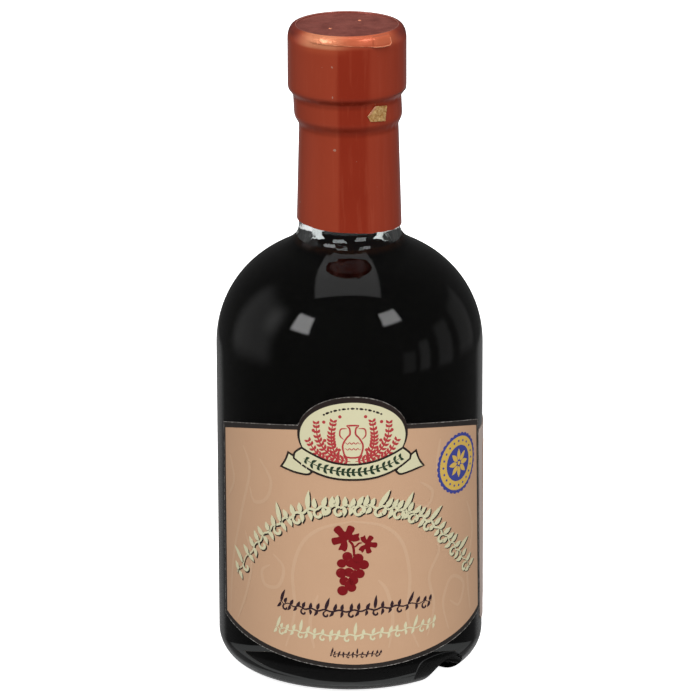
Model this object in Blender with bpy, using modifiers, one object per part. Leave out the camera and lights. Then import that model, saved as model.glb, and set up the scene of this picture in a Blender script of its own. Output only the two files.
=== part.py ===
"""A small round vinegar bottle: dark vinegar in clear glass, a screw cap under a shrink capsule, paper labels.

The bottle stands on the floor at the origin with +Z up, and the front label faces -Y.
Dimensions are in millimetres and degrees, and MM turns them into metres.
An angle round the bottle is 0 at the front and grows towards +X.
"""
import math

import bmesh
import bpy
from mathutils import Euler, Matrix, Vector

MM = 0.001

# glass body
BODY_R = 33.1
WALL = 3.1
HEEL_ROUND = (7.8, 7.8)
DOME_Z = 82.4
DOME_RISE = 27.6
DOME_POWERS = (2.0, 2.35)
DOME_END_Z = 106.0
BASE_THICKNESS = 5.0
PUNT_R = 23.0
PUNT_DEPTH = 3.6

# glass neck and the finish that the cap screws onto
NECK_FOOT_Z = 112.0
NECK_FOOT_R = 12.55
NECK_WALL = 3.5
MOUTH_R = 8.8
FINISH_TOP_Z = 160.2

# notch in the heel that a labelling machine turns the bottle by
NOTCH_ANGLE = 50.1
NOTCH_CENTRE = (26.4, 2.2)
NOTCH_HALF_SIZE = (9.7, 6.8, 4.5)
NOTCH_TILT = 14.1

# capsule: a thin shrunk film over the cap, the band below it and the neck
HEIGHT = 163.4
FILM = 0.2
FIT_GAP = 0.25
CAP_R = 14.58
CAP_ROUND = (1.93, 3.4)
CAP_LOWER_Z = 147.5
CAP_UNDERSIDE_Z = 145.7
BAND_R = 13.3
BAND_LOWER_Z = 140.6
BAND_UNDERSIDE_Z = 138.4
SLEEVE_TOP_R = 12.25
SLEEVE_BOTTOM_R = 12.95
SLEEVE_EDGE_Z = 113.4
SLEEVE_EDGE_TILT = 4.5
DISC_R = 11.8
DISC_SINK = 0.35
DISC_THICKNESS = 0.3

# screw cap under the film
CAP_THICKNESS = 1.4
THREAD_DEPTH = 0.7

# vinegar, with a small gap to the glass
LEVEL_Z = 108.1
LIQUID_GAP = 0.3

# paper labels, with a small gap to the glass
PAPER = 0.2
PAPER_GAP = 0.25
FRONT_ANGLE = 2.2
FRONT_HALF_WIDTH = 41.6
FRONT_SIDE_Z = (14.6, 64.6)
FRONT_MIDDLE_Z = (8.1, 70.6)
FRONT_BOTTOM_POWER = 1.7
OVAL_CENTRE = (-0.8, 68.6)
OVAL_HALF_SIZE = (13.9, 10.0)
BACK_START_ANGLE = 75.6
BACK_WIDTH = 100.0
BACK_Z = (11.0, 61.9)
BACK_CHAMFER = 1.0

# loose end of the gold tear strip, as (distance round the band, height)
TAB_LOWER_EDGE = ((4.6, 143.3), (5.4, 142.0), (9.5, 141.6), (10.0, 144.8))
TAB_UPPER_EDGE = ((4.6, 143.7), (6.5, 145.3), (10.0, 145.1))
TAB_THICKNESS = 0.15
TAB_GAP = 0.25

STEPS = 48
LABEL_COLUMNS = 56
TAB_COLUMNS = 10


def clear_scene():
    """Remove every object that the file opened with."""
    for item in list(bpy.data.objects):
        bpy.data.objects.remove(item, do_unlink=True)


def make_collection(name):
    """A collection linked into the scene."""
    collection = bpy.data.collections.new(name)
    bpy.context.scene.collection.children.link(collection)
    return collection


def make_material(name, colour, roughness, metallic=0.0, alpha=1.0):
    """A Principled material with one colour."""
    material = bpy.data.materials.new(name)
    material.use_nodes = True
    shader = material.node_tree.nodes["Principled BSDF"]
    shader.inputs["Base Color"].default_value = (*colour, 1.0)
    shader.inputs["Roughness"].default_value = roughness
    shader.inputs["Metallic"].default_value = metallic
    shader.inputs["Alpha"].default_value = alpha
    material.diffuse_color = (*colour, alpha)
    return material


def make_object(name, mesh, collection):
    """Link a mesh as a named object."""
    item = bpy.data.objects.new(name, mesh)
    collection.objects.link(item)
    return item


def arc(centre, radii, start, end, steps):
    """Points of an elliptic arc, with angles measured up from the outward direction."""
    points = []
    for step in range(steps + 1):
        angle = math.radians(start + (end - start) * step / steps)
        points.append((centre[0] + radii[0] * math.cos(angle), centre[1] + radii[1] * math.sin(angle)))
    return points


def bezier(p0, p1, p2, p3, steps):
    """Points of a cubic curve from p0 to p3."""
    points = []
    for step in range(steps + 1):
        t = step / steps
        weights = ((1 - t) ** 3, 3 * t * (1 - t) ** 2, 3 * t * t * (1 - t), t ** 3)
        points.append(tuple(sum(w * p[axis] for w, p in zip(weights, (p0, p1, p2, p3))) for axis in (0, 1)))
    return points


def dome(radius, rise, end_z, steps):
    """The shoulder's outline from its top at end_z down to DOME_Z."""
    power_z, power_r = DOME_POWERS
    points = []
    for step in range(steps + 1):
        height = (end_z - DOME_Z) * math.cos(math.pi / 2 * step / steps)
        points.append((radius * (1.0 - (height / rise) ** power_z) ** (1.0 / power_r), DOME_Z + height))
    return points


def drawn_in(points, distance):
    """The same line moved towards the axis, square to itself; it runs down from top to bottom."""
    moved = []
    for index, point in enumerate(points):
        before = Vector(points[max(index - 1, 0)])
        after = Vector(points[min(index + 1, len(points) - 1)])
        along = (after - before).normalized()
        moved.append((point[0] + along.y * distance, point[1] - along.x * distance))
    return moved


def film_step(upper_r, upper_z, lower_r, lower_z):
    """The film's outline where it shrinks in from one drum to a narrower one below."""
    return bezier((upper_r, upper_z + 0.9), (upper_r, upper_z - 0.7), (lower_r, lower_z + 1.0), (lower_r, lower_z - 0.3), 4)


def turned(name, profile, collection, material, steps=STEPS):
    """Turn a profile of (radius, height) points round the upright axis."""
    shape = bmesh.new()
    corners = [shape.verts.new((radius * MM, 0.0, height * MM)) for radius, height in profile]
    for first, second in zip(corners, corners[1:]):
        shape.edges.new((first, second))
    if profile[0][0] > 0.0:
        shape.edges.new((corners[-1], corners[0]))
    mesh = bpy.data.meshes.new(name)
    shape.to_mesh(mesh)
    shape.free()
    mesh.materials.append(material)
    item = make_object(name, mesh, collection)
    screw = item.modifiers.new("turn", "SCREW")
    screw.axis = "Z"
    screw.steps = steps
    screw.render_steps = steps
    screw.use_merge_vertices = True
    screw.merge_threshold = 0.00001
    screw.use_smooth_shade = True
    return item


def cut(item, cutter):
    """Take the cutter out of the item."""
    boolean = item.modifiers.new(cutter.name, "BOOLEAN")
    boolean.operation = "DIFFERENCE"
    boolean.solver = "EXACT"
    boolean.object = cutter
    cutter.hide_render = True
    cutter.display_type = "WIRE"


def follow(points, distance):
    """Height at a distance along a line of (distance, height) points."""
    for (s0, z0), (s1, z1) in zip(points, points[1:]):
        if distance <= s1:
            return z0 + (z1 - z0) * (distance - s0) / (s1 - s0)
    return points[-1][1]


def wrapped_sheet(name, span, lower, upper, columns, angle, radius, thickness, collection, material):
    """A sheet bent round the bottle; lower and upper give its edges' heights at a distance along it."""
    shape = bmesh.new()
    bmesh.ops.create_grid(shape, x_segments=columns, y_segments=1, size=0.5)
    for corner in shape.verts:
        distance = span[0] + (span[1] - span[0]) * (corner.co.x + 0.5)
        height = lower(distance) if corner.co.y < 0.0 else upper(distance)
        turn = math.radians(angle) + distance / radius
        corner.co = Vector((math.sin(turn) * radius, -math.cos(turn) * radius, height)) * MM
    mesh = bpy.data.meshes.new(name)
    shape.to_mesh(mesh)
    shape.free()
    mesh.shade_smooth()
    mesh.materials.append(material)
    item = make_object(name, mesh, collection)
    solidify = item.modifiers.new("thickness", "SOLIDIFY")
    solidify.thickness = thickness * MM
    solidify.offset = 1.0
    return item


def glass_outside():
    """Outline of the glass from its lip down to the middle of its base."""
    finish_r = BAND_R - FILM - FIT_GAP
    thread_r = finish_r - THREAD_DEPTH
    points = arc((thread_r - 0.8, FINISH_TOP_Z - 0.6), (0.8, 0.6), 90.0, 0.0, 2)
    points += [(thread_r, CAP_UNDERSIDE_Z + 0.3)]
    points += [(finish_r - 0.2, CAP_UNDERSIDE_Z - 0.3), (finish_r, CAP_UNDERSIDE_Z - 0.8)]
    points += drawn_in(film_step(BAND_R, BAND_LOWER_Z, SLEEVE_TOP_R, BAND_UNDERSIDE_Z), FILM + FIT_GAP)
    shoulder = dome(BODY_R, DOME_RISE, DOME_END_Z, 9)
    top = shoulder[0]
    points += bezier((NECK_FOOT_R, NECK_FOOT_Z), (NECK_FOOT_R + 0.5, NECK_FOOT_Z - 3.2),
                     (top[0] - 2.36, top[1] + 1.28), top, 5)
    points += shoulder[1:]
    reach, rise = HEEL_ROUND
    points += arc((BODY_R - reach, rise), (reach, rise), 0.0, -90.0, 6)
    points += [(PUNT_R + 1.2, 0.0), (PUNT_R, 0.8), (PUNT_R * 0.6, PUNT_DEPTH * 0.8), (0.0, PUNT_DEPTH)]
    return points


def cut_level(points, height):
    """The part of a line that runs down from a height, starting at that height."""
    for index, (first, second) in enumerate(zip(points, points[1:])):
        if second[1] <= height <= first[1]:
            share = (first[1] - height) / (first[1] - second[1])
            return [(first[0] + (second[0] - first[0]) * share, height)] + points[index + 1:]
    return points


def glass_inside(gap=0.0):
    """Outline of the bore from the middle of its floor up to the neck, drawn in by a gap."""
    wall_r = BODY_R - WALL - gap
    floor_z = PUNT_DEPTH + BASE_THICKNESS + gap
    bore_r = NECK_FOOT_R - NECK_WALL - gap
    points = [(0.0, floor_z)] + arc((wall_r - 8.0, floor_z + 8.0), (8.0, 8.0), -84.0, 0.0, 4)
    shoulder = dome(wall_r, DOME_RISE - WALL - gap, DOME_END_Z - WALL, 6)
    top = shoulder[0]
    points += shoulder[::-1][:-1]
    points += bezier(top, (top[0] - 2.4, top[1] + 1.4), (bore_r, NECK_FOOT_Z - 3.6), (bore_r, NECK_FOOT_Z + 0.8), 5)
    return points


def heel_notch(collection):
    """Cutter for the notch: an egg shape that lies along its radius and tips up outwards."""
    shape = bmesh.new()
    bmesh.ops.create_uvsphere(shape, u_segments=20, v_segments=12, radius=MM)
    size = Matrix.Diagonal((*NOTCH_HALF_SIZE, 1.0))
    tip = Euler((0.0, -math.radians(NOTCH_TILT), 0.0)).to_matrix().to_4x4()
    place = Matrix.Translation(Vector((NOTCH_CENTRE[0], 0.0, NOTCH_CENTRE[1])) * MM)
    turn = Matrix.Rotation(math.radians(NOTCH_ANGLE - 90.0), 4, "Z")
    bmesh.ops.transform(shape, matrix=turn @ place @ tip @ size, verts=shape.verts)
    mesh = bpy.data.meshes.new("heel notch")
    shape.to_mesh(mesh)
    shape.free()
    return make_object("heel notch", mesh, collection)


def build_glass(parts, cutters):
    """The bottle, open at its mouth and hollow down to a thick base with a punt under it."""
    material = make_material("clear_glass", (0.80, 0.84, 0.83), 0.04, alpha=0.35)
    mouth = [(MOUTH_R, FINISH_TOP_Z - 10.0), (MOUTH_R, FINISH_TOP_Z)]
    glass = turned("glass_bottle", glass_inside() + mouth + glass_outside(), parts, material)
    cut(glass, heel_notch(cutters))


def build_vinegar(parts):
    """The vinegar, as one solid up to its level at the foot of the neck."""
    material = make_material("dark_vinegar", (0.020, 0.008, 0.005), 0.06)
    inside = cut_level(glass_inside(LIQUID_GAP)[::-1], LEVEL_Z)
    turned("vinegar", [(0.0, LEVEL_Z)] + inside, parts, material)


def build_screw_cap(parts):
    """The cap whose drum shape shows through the film."""
    material = make_material("cap_plastic", (0.08, 0.05, 0.04), 0.45)
    outer_r = CAP_R - FILM - FIT_GAP
    inner_r = outer_r - CAP_THICKNESS
    top_z = HEIGHT - FILM - FIT_GAP - DISC_SINK - DISC_THICKNESS
    lower_z = CAP_LOWER_Z
    reach, rise = CAP_ROUND
    profile = [(0.0, top_z)] + arc((outer_r - reach, top_z - rise), (reach, rise), 90.0, 0.0, 3)
    profile += [(outer_r, lower_z), (inner_r, lower_z), (inner_r, FINISH_TOP_Z + 0.4), (0.0, FINISH_TOP_Z + 0.4)]
    turned("screw_cap", profile, parts, material)


def build_capsule(parts, cutters):
    """The film: a drum over the cap, a band, and a sleeve down the neck that ends in a tilted edge."""
    material = make_material("copper_film", (0.56, 0.13, 0.06), 0.32, metallic=0.75)
    reach, rise = CAP_ROUND
    rim_r = CAP_R - reach
    run_on = 3.0
    slope = (SLEEVE_BOTTOM_R - SLEEVE_TOP_R) / (BAND_UNDERSIDE_Z - SLEEVE_EDGE_Z)
    outer = [(DISC_R + FIT_GAP, HEIGHT)]
    outer += arc((rim_r, HEIGHT - rise), (reach, rise), 90.0, 0.0, 5)
    outer += film_step(CAP_R, CAP_LOWER_Z, BAND_R, CAP_UNDERSIDE_Z)
    outer += film_step(BAND_R, BAND_LOWER_Z, SLEEVE_TOP_R, BAND_UNDERSIDE_Z)
    outer += [(SLEEVE_BOTTOM_R + slope * run_on, SLEEVE_EDGE_Z - run_on)]
    capsule = turned("capsule", outer + drawn_in(outer, FILM)[::-1], parts, material)

    bpy.ops.mesh.primitive_cube_add(size=2.0 * BODY_R * MM)
    trim = bpy.context.object
    trim.name = "capsule edge"
    tilt = Matrix.Rotation(math.radians(SLEEVE_EDGE_TILT), 4, "Y")
    trim.matrix_world = Matrix.Translation((0.0, 0.0, SLEEVE_EDGE_Z * MM)) @ tilt @ Matrix.Translation(
        (0.0, 0.0, -BODY_R * MM))
    for holder in list(trim.users_collection):
        holder.objects.unlink(trim)
    cutters.objects.link(trim)
    cut(capsule, trim)


def build_disc(parts):
    """The dull disc that lies just below the film's rim."""
    material = make_material("disc_film", (0.16, 0.055, 0.045), 0.55, metallic=0.3)
    top_z = HEIGHT - DISC_SINK
    profile = [(0.0, top_z), (DISC_R - 0.1, top_z), (DISC_R, top_z - 0.1), (DISC_R, top_z - DISC_THICKNESS)]
    turned("capsule_disc", profile + [(0.0, top_z - DISC_THICKNESS)], parts, material)


def build_tear_tab(parts):
    """The loose end of the gold tear strip, lying on the band."""
    material = make_material("gold_strip", (0.56, 0.36, 0.13), 0.4, metallic=0.7)
    span = (TAB_LOWER_EDGE[0][0], TAB_LOWER_EDGE[-1][0])
    wrapped_sheet("tear_tab", span, lambda s: follow(TAB_LOWER_EDGE, s), lambda s: follow(TAB_UPPER_EDGE, s),
                  TAB_COLUMNS, 0.0, BAND_R + TAB_GAP, TAB_THICKNESS, parts, material)


def front_lower_edge(distance):
    """Lower edge of the front label: low in the middle, rising to the corners."""
    share = abs(distance) / FRONT_HALF_WIDTH
    return FRONT_MIDDLE_Z[0] + (FRONT_SIDE_Z[0] - FRONT_MIDDLE_Z[0]) * share ** FRONT_BOTTOM_POWER


def front_upper_edge(distance):
    """Upper edge of the front label: an arch with an oval standing up in its middle."""
    share = abs(distance) / FRONT_HALF_WIDTH
    arch = FRONT_MIDDLE_Z[1] - (FRONT_MIDDLE_Z[1] - FRONT_SIDE_Z[1]) * share ** 2
    across = (distance - OVAL_CENTRE[0]) / OVAL_HALF_SIZE[0]
    if abs(across) >= 1.0:
        return arch
    return max(arch, OVAL_CENTRE[1] + OVAL_HALF_SIZE[1] * math.sqrt(1.0 - across ** 2))


def build_front_label(parts):
    """The tan paper label on the front."""
    material = make_material("label_paper", (0.50, 0.30, 0.17), 0.5)
    span = (-FRONT_HALF_WIDTH, FRONT_HALF_WIDTH)
    wrapped_sheet("front_label", span, front_lower_edge, front_upper_edge, LABEL_COLUMNS, FRONT_ANGLE,
                  BODY_R + PAPER_GAP, PAPER, parts, material)


def build_back_label(parts):
    """The plain label round the back, with clipped corners."""
    material = make_material("back_paper", (0.62, 0.44, 0.36), 0.5)

    def clip(distance):
        return max(0.0, BACK_CHAMFER - min(distance, BACK_WIDTH - distance))

    wrapped_sheet("back_label", (0.0, BACK_WIDTH), lambda s: BACK_Z[0] + clip(s), lambda s: BACK_Z[1] - clip(s),
                  LABEL_COLUMNS, BACK_START_ANGLE, BODY_R + PAPER_GAP, PAPER, parts, material)


def main():
    """Build the whole bottle."""
    clear_scene()
    parts = make_collection("vinegar bottle")
    cutters = make_collection("cutters")
    build_glass(parts, cutters)
    build_vinegar(parts)
    build_screw_cap(parts)
    build_capsule(parts, cutters)
    build_disc(parts)
    build_tear_tab(parts)
    build_front_label(parts)
    build_back_label(parts)


main()
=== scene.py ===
"""Looks for a small round bottle of dark vinegar with a copper capsule and paper labels.

The bottle stands on the floor at the origin, and its front label faces -Y.
Shapes are worked out in millimetres and degrees, and MM turns them into metres.
An angle round the bottle is 0 at the front and grows towards +X.
"""
import math
import random

import bmesh
import bpy
from mathutils import Euler, Matrix, Vector, noise


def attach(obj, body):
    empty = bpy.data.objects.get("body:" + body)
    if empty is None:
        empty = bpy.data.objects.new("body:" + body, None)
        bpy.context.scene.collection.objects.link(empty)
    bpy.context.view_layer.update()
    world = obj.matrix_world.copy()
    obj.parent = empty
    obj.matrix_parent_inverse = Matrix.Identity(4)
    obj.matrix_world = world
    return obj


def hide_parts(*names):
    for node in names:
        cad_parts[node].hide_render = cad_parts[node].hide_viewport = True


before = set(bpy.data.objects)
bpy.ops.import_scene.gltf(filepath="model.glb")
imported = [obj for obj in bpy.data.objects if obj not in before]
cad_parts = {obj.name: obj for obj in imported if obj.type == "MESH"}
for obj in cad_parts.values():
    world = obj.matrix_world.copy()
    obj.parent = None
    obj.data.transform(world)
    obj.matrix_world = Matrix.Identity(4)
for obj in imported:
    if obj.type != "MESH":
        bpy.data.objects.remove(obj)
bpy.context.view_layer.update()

MM = 0.001
TURN_STEPS = 192

# camera
CAMERA_PLACE = (0.0946, -1300.0, 489.888)
CAMERA_PITCH = 17.503
CAMERA_ROLL = 0.1845
CAMERA_LENS = 282.151

# glass body
BODY_R = 33.1
WALL = 3.1
HEEL_ROUND = (7.8, 7.8)
DOME_Z = 82.4
DOME_RISE = 27.6
DOME_POWERS = (2.0, 2.35)
DOME_END_Z = 106.0
BASE_THICKNESS = 5.0
PUNT_R = 23.0
PUNT_DEPTH = 3.6

# glass neck
NECK_FOOT_Z = 112.0
NECK_FOOT_R = 12.55
NECK_WALL = 3.5
MOUTH_R = 8.8
FINISH_TOP_Z = 160.2

# notch in the heel
NOTCH_ANGLE = 50.1
NOTCH_CENTRE = (26.4, 2.2)
NOTCH_HALF_SIZE = (9.7, 6.8, 4.5)
NOTCH_TILT = 14.1

# capsule
HEIGHT = 163.4
FILM = 0.2
CAP_R = 14.58
CAP_ROUND = (1.8, 3.4)
CAP_LOWER_Z = 147.5
CAP_UNDERSIDE_Z = 145.7
BAND_R = 13.3
BAND_LOWER_Z = 140.6
BAND_UNDERSIDE_Z = 138.4
SLEEVE_TOP_R = 12.25
SLEEVE_BOTTOM_R = 12.95
SLEEVE_EDGE_Z = 113.8
SLEEVE_EDGE_TILT = 3.1
HEAD_LEAN = 0.4
DISC_R = 12.45
DISC_SINK = 0.35
DISC_THICKNESS = 0.3

# heights where the film steps in, for its dents and for the painted shade in its creases
FILM_DENT_Z = (146.4, 139.2)
FILM_SHADE_Z = (146.4, 139.3)

# lap of film round the front of the cap's rim, ending in a raised fold: its lower edge by angle and height,
# and the ridge along it by angle, height and size
LAP_EDGE = ((-54.0, 162.9), (-44.0, 162.0), (-34.0, 161.55), (-20.0, 161.4), (0.0, 161.35), (14.0, 161.1),
            (24.0, 160.85), (34.0, 160.6), (42.0, 160.65), (44.5, 161.0))
LAP_RIDGE = ((-50.0, 162.6, 0.03), (-40.0, 161.8, 0.05), (-28.0, 161.55, 0.07), (-12.0, 161.45, 0.09),
             (2.0, 161.3, 0.08), (14.0, 161.1, 0.06), (23.5, 160.9, 0.05), (26.5, 160.75, 0.13),
             (34.0, 160.65, 0.15), (42.0, 160.7, 0.13), (44.2, 161.1, 0.1), (44.4, 162.0, 0.09),
             (43.6, 162.7, 0.04))
LAP_FOLD = (24.5, 26.5)
LAP_RISE = (0.08, 0.2, 0.7)
DOT_PLACES = ((3.1, 4.6), (-4.1, -3.4))
DOT_SIZE = (0.46, 0.46, 0.14)
LAP_THICKNESS = 0.16
# pale ring round the disc, a painted highlight on the edge of the film's rim: radius, height and size
RIM_HIGHLIGHT_RING = (12.57, 163.26, 0.12)

# gold end of the tear strip, by angle and height
TAB_CORNERS = ((19.6, 143.4), (23.1, 141.95), (41.4, 141.5), (43.6, 145.3), (28.6, 145.7))
TAB_FOLD = ((19.6, 143.4), (22.0, 143.55), (29.4, 145.45), (28.6, 145.8))
TAB_R = 13.38

# vinegar
LEVEL_Z = 108.1
LIQUID_REACH = 0.2
MENISCUS = 0.5

# labels: distances run round the bottle from the front, at PRINT_R
PRINT_R = 33.05
PAPER_INNER_R = 33.13
PAPER = 0.22
FRONT_SPAN = (-39.9, 42.2)
FRONT_SLANT = 0.039
FRONT_SIDE_Z = (14.9, 65.3)
FRONT_MIDDLE_Z = (7.9, 71.2)
FRONT_BOTTOM_POWER = 1.7
OVAL_CENTRE = (0.7, 68.6)
OVAL_HALF_SIZE = (13.75, 9.9)
BORDER = 1.2
BACK_START = 43.6
BACK_WIDTH = 100.0
BACK_SLANT = 0.054
BACK_Z = (11.0, 61.9)
BACK_CHAMFER = 1.0
BACK_BORDER = 4.2
BACK_ROWS = (40.5, 37.3, 34.1, 30.9)
BACK_PANEL_Z = (17.2, 27.4)
INK = 0.018
COLUMN = 1.2
LEAF_STEPS = 8
CURL_STEPS = 14
CURL_TURNS = 0.85

# inks of the labels: colour and shade
INKS = {
    "dark border print": ((54, 48, 45), (40, 36, 34)),
    "tan print": ((212, 172, 139), (204, 163, 130)),
    "light tan print": ((217, 180, 148), (208, 170, 137)),
    "dark brown print": ((48, 38, 34), (38, 30, 28)),
    "cream print": ((226, 222, 186), (216, 210, 172)),
    "red print": ((190, 66, 68), (176, 56, 60)),
    "dark green print": ((44, 66, 44), (36, 54, 38)),
    "dark red print": ((138, 18, 26), (122, 13, 21)),
    "pale red print": ((164, 62, 56), (150, 52, 48)),
    "dark plum print": ((58, 38, 46), (48, 31, 38)),
    "blue print": ((70, 78, 160), (60, 68, 146)),
    "yellow print": ((228, 192, 96), (218, 180, 84)),
    "back paper": ((208, 190, 180), (198, 180, 170)),
}

# crinkled foils: scale, fade, dark and pale colour, depth and strength of relief, metal, roughness, coat
CRINKLED = {
    # pale copper, a painted highlight on the lap's ridge and on the dots
    "copper film painted highlight": (900.0, None, (222, 108, 74), (255, 182, 140), (0.00005, 0.5), 0.3, 0.3, 0.5),
    # pale ring round the disc, a painted highlight on the film's rim
    "film rim painted highlight": (900.0, None, (140, 70, 60), (206, 146, 132), (0.00005, 0.5), 0.3, 0.3, 0.5),
    "gold strip": (1400.0, (0.3, 0.7), (190, 130, 66), (244, 204, 140), (0.0004, 0.9), 0.45, 0.3, 0.0),
    "gold strip back": (1800.0, None, (226, 150, 116), (248, 190, 150), (0.0001, 0.6), 0.4, 0.35, 0.0),
}

# lines and places of the front label's print
ARCH = ((-32.9, 28.0), (-26.2, 36.4), (-20.6, 42.6), (-14.2, 47.2), (-7.6, 49.7), (-1.5, 50.4), (4.2, 50.3),
        (10.4, 49.3), (15.3, 47.6), (20.5, 44.4), (25.8, 39.4), (30.6, 34.2), (36.2, 28.2))
ARCH_TALL = (1, 8, 12, 22, 26, 31, 38)
# rows of the print: line, its steps, leaves, height, width, seed, tall leaves and ink
ROWS = (
    ("dark_row_print", ((-18.2, 24.0), (-10.5, 23.2), (0.0, 23.2), (10.5, 23.7), (21.2, 23.6)), 14,
     (21, 3.5, 0.68, 8, (0, 7, 13, 17)), "dark plum print"),
    ("cream_row_print", ((-19.5, 17.1), (-10.8, 16.9), (0.0, 16.8), (11.6, 17.3), (22.3, 17.6)), 14,
     (22, 3.3, 0.66, 9, (0, 4, 11, 18)), "cream print"),
    ("small_row_print", ((-5.0, 11.9), (1.0, 11.7), (7.6, 11.9)), 12, (12, 1.7, 0.36, 4, (0, 6)),
     "dark plum print"),
)
RIBBON_MIDDLE = ((-11.6, 62.3), (-7.4, 60.4), (-3.0, 59.5), (0.7, 59.2), (5.0, 59.6), (9.4, 60.7),
                 (13.2, 62.6))
RIBBON_LOWER = ((-14.2, 61.8), (-10.0, 59.2), (-5.0, 57.5), (0.6, 57.0), (6.2, 57.4), (11.2, 59.0),
                (15.2, 61.4))
RIBBON_UPPER = ((13.2, 65.0), (10.3, 63.6), (6.0, 62.1), (0.7, 61.4), (-4.6, 62.0), (-9.2, 63.8),
                (-11.9, 65.2))
# each tail of the ribbon: its two curves and its inner corner
RIBBON_TAILS = (
    (((-15.6, 63.6), (-16.4, 61.4), (-17.8, 59.2)),
     ((-17.8, 59.2), (-14.0, 58.2), (-10.4, 57.9), (-9.0, 58.9)), (-11.5, 61.5)),
    (((11.0, 58.9), (12.4, 57.7), (15.6, 58.2), (19.2, 59.1)),
     ((19.2, 59.1), (17.7, 61.2), (16.8, 63.8)), (12.9, 61.5)),
)
# the jug in the oval, its handle, and the branches beside it with their leaves' number and size
JUG = ((-1.6, 62.9), (1.6, 62.9), (2.5, 64.6), (2.6, 66.4), (1.6, 68.2), (0.9, 69.0), (0.95, 70.3),
       (1.5, 71.3), (-1.5, 71.3), (-0.95, 70.3), (-0.9, 69.0), (-1.6, 68.2), (-2.6, 66.4), (-2.5, 64.6))
JUG_HANDLE = ((1.4, 70.4), (2.9, 70.2), (3.1, 68.6), (2.2, 67.6))
BRANCHES = ((((0.6, 61.9), (3.6, 62.6), (6.6, 64.6), (8.5, 67.8), (8.9, 71.6)), 13, 1.9),
            (((3.6, 62.6), (4.9, 65.6), (5.2, 68.6), (4.7, 72.2)), 10, 1.7),
            (((2.4, 61.2), (6.2, 62.2), (8.8, 63.9), (10.9, 66.9)), 9, 1.6))
BERRIES = ((3.3, 64.9), (7.0, 71.9), (6.8, 67.2), (3.1, 73.4), (9.6, 69.6))
MOTIF_MIDDLE = 0.7
# the dashes along the oval's top: number, first bearing, sweep, height of their centre and half size
DASHES = (15, 128.0, 76.0, 67.6, (11.3, 7.9))
# outline of a vine leaf by bearing and reach
VINE_LEAF = ((0.0, 0.1), (28.0, 0.55), (44.0, 0.92), (60.0, 0.86), (74.0, 0.95), (86.0, 0.5), (100.0, 0.93),
             (116.0, 1.0), (132.0, 0.94), (148.0, 0.5), (164.0, 1.0), (180.0, 1.1), (196.0, 1.0),
             (212.0, 0.5), (228.0, 0.94), (244.0, 1.0), (260.0, 0.93), (274.0, 0.5), (286.0, 0.95),
             (300.0, 0.86), (316.0, 0.92), (332.0, 0.55))
GRAPES = ((-0.7, 37.4), (1.9, 36.9), (-2.1, 35.6), (0.1, 35.8), (3.3, 35.2), (1.5, 35.0), (-2.2, 33.1),
          (-0.4, 33.3), (2.3, 32.9), (0.9, 32.6), (-1.5, 31.0), (0.7, 31.2), (-0.3, 30.4), (0.3, 29.3),
          (-1.9, 28.5))
ROSETTE_CENTRE = (30.7, 57.0)
ROSETTE_SCALLOPS = 32
ROSETTE_RIM = (7.45, 0.36)
ROSETTE_RING_R = 6.85
ROSETTE_FIELD_R = 4.55
# dots: number, distance out and radius; petals: number, their two ends and their width
ROSETTE_DOTS = (20, 5.7, 0.3)
ROSETTE_PETALS = (8, 0.75, 3.7, 1.3)
ROSETTE_EYE_R = 0.5
GHOST_LINES = (
    ((-36.5, 16.5), (-35.0, 30.0), (-31.0, 44.0), (-27.5, 56.0), (-30.0, 62.0)),
    ((-33.0, 15.5), (-29.0, 24.0), (-27.0, 33.0), (-29.5, 40.0)),
    ((-24.0, 60.0), (-20.5, 55.0), (-22.0, 50.0), (-26.0, 48.5), (-27.5, 52.0)),
    ((-16.5, 12.5), (-14.0, 22.0), (-14.5, 32.0), (-12.0, 40.0), (-7.0, 44.5), (0.5, 46.5)),
    ((0.5, 46.5), (8.0, 45.0), (13.0, 40.0), (15.0, 31.0), (14.5, 20.0), (17.5, 12.0)),
    ((-9.0, 13.0), (-10.0, 20.0), (-8.0, 27.0)),
    ((9.5, 13.0), (10.5, 21.0), (9.0, 28.0), (6.8, 31.0)),
    ((20.0, 14.5), (22.0, 22.0), (20.5, 30.0), (23.5, 36.0), (22.0, 41.0)),
    ((27.0, 14.5), (25.0, 22.0), (28.0, 28.0), (33.0, 25.0), (31.0, 20.0), (27.5, 22.0)),
    ((36.5, 17.0), (35.0, 27.0), (37.5, 38.0), (34.5, 46.0)),
    ((-20.0, 36.0), (-17.0, 33.0), (-18.5, 28.0), (-22.5, 27.5), (-23.5, 31.0), (-21.0, 33.0)),
    ((18.0, 55.0), (21.5, 52.0), (20.0, 48.5), (16.5, 49.5)),
    ((-37.0, 47.0), (-34.0, 52.0), (-36.0, 58.0)),
    ((24.0, 65.0), (23.0, 58.0), (24.5, 52.0)),
)

# what the glass and the film reflect: panels by (azimuth, height), half size, softness and strength
PANELS = (
    ((-49.5, 35.5), (9.3, 8.4), 1.8, 4.6),
    ((45.8, 43.5), (10.6, 6.7), 1.8, 3.8),
    ((-96.0, 15.0), (23.0, 24.0), 8.0, 0.26),
    ((-80.0, 27.0), (8.0, 9.0), 8.0, 0.3),
    ((52.0, -4.0), (6.0, 10.0), 2.0, 0.12),
    ((68.0, -1.0), (5.0, 13.0), 2.5, 0.2),
    ((91.0, 2.0), (8.0, 16.0), 3.0, 0.15),
    ((121.0, 4.0), (12.0, 16.0), 4.0, 0.1),
)
ROOM = 0.06
CEILING = 0.62
LOW_BEHIND = 0.16
LOW_ROUND = 0.1
ROUND_LIGHT = 0.45
# lights, in metres: place, width and power
LIGHT_AIM = (0.0, 0.0, 0.08)
LIGHTS = (
    ("key light", (-0.7, -1.2, 1.3), 0.9, 17.0),
    ("fill light", (0.9, -1.3, 0.9), 0.9, 12.5),
    ("top light", (0.0, 0.2, 1.6), 1.2, 12.5),
)


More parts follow.
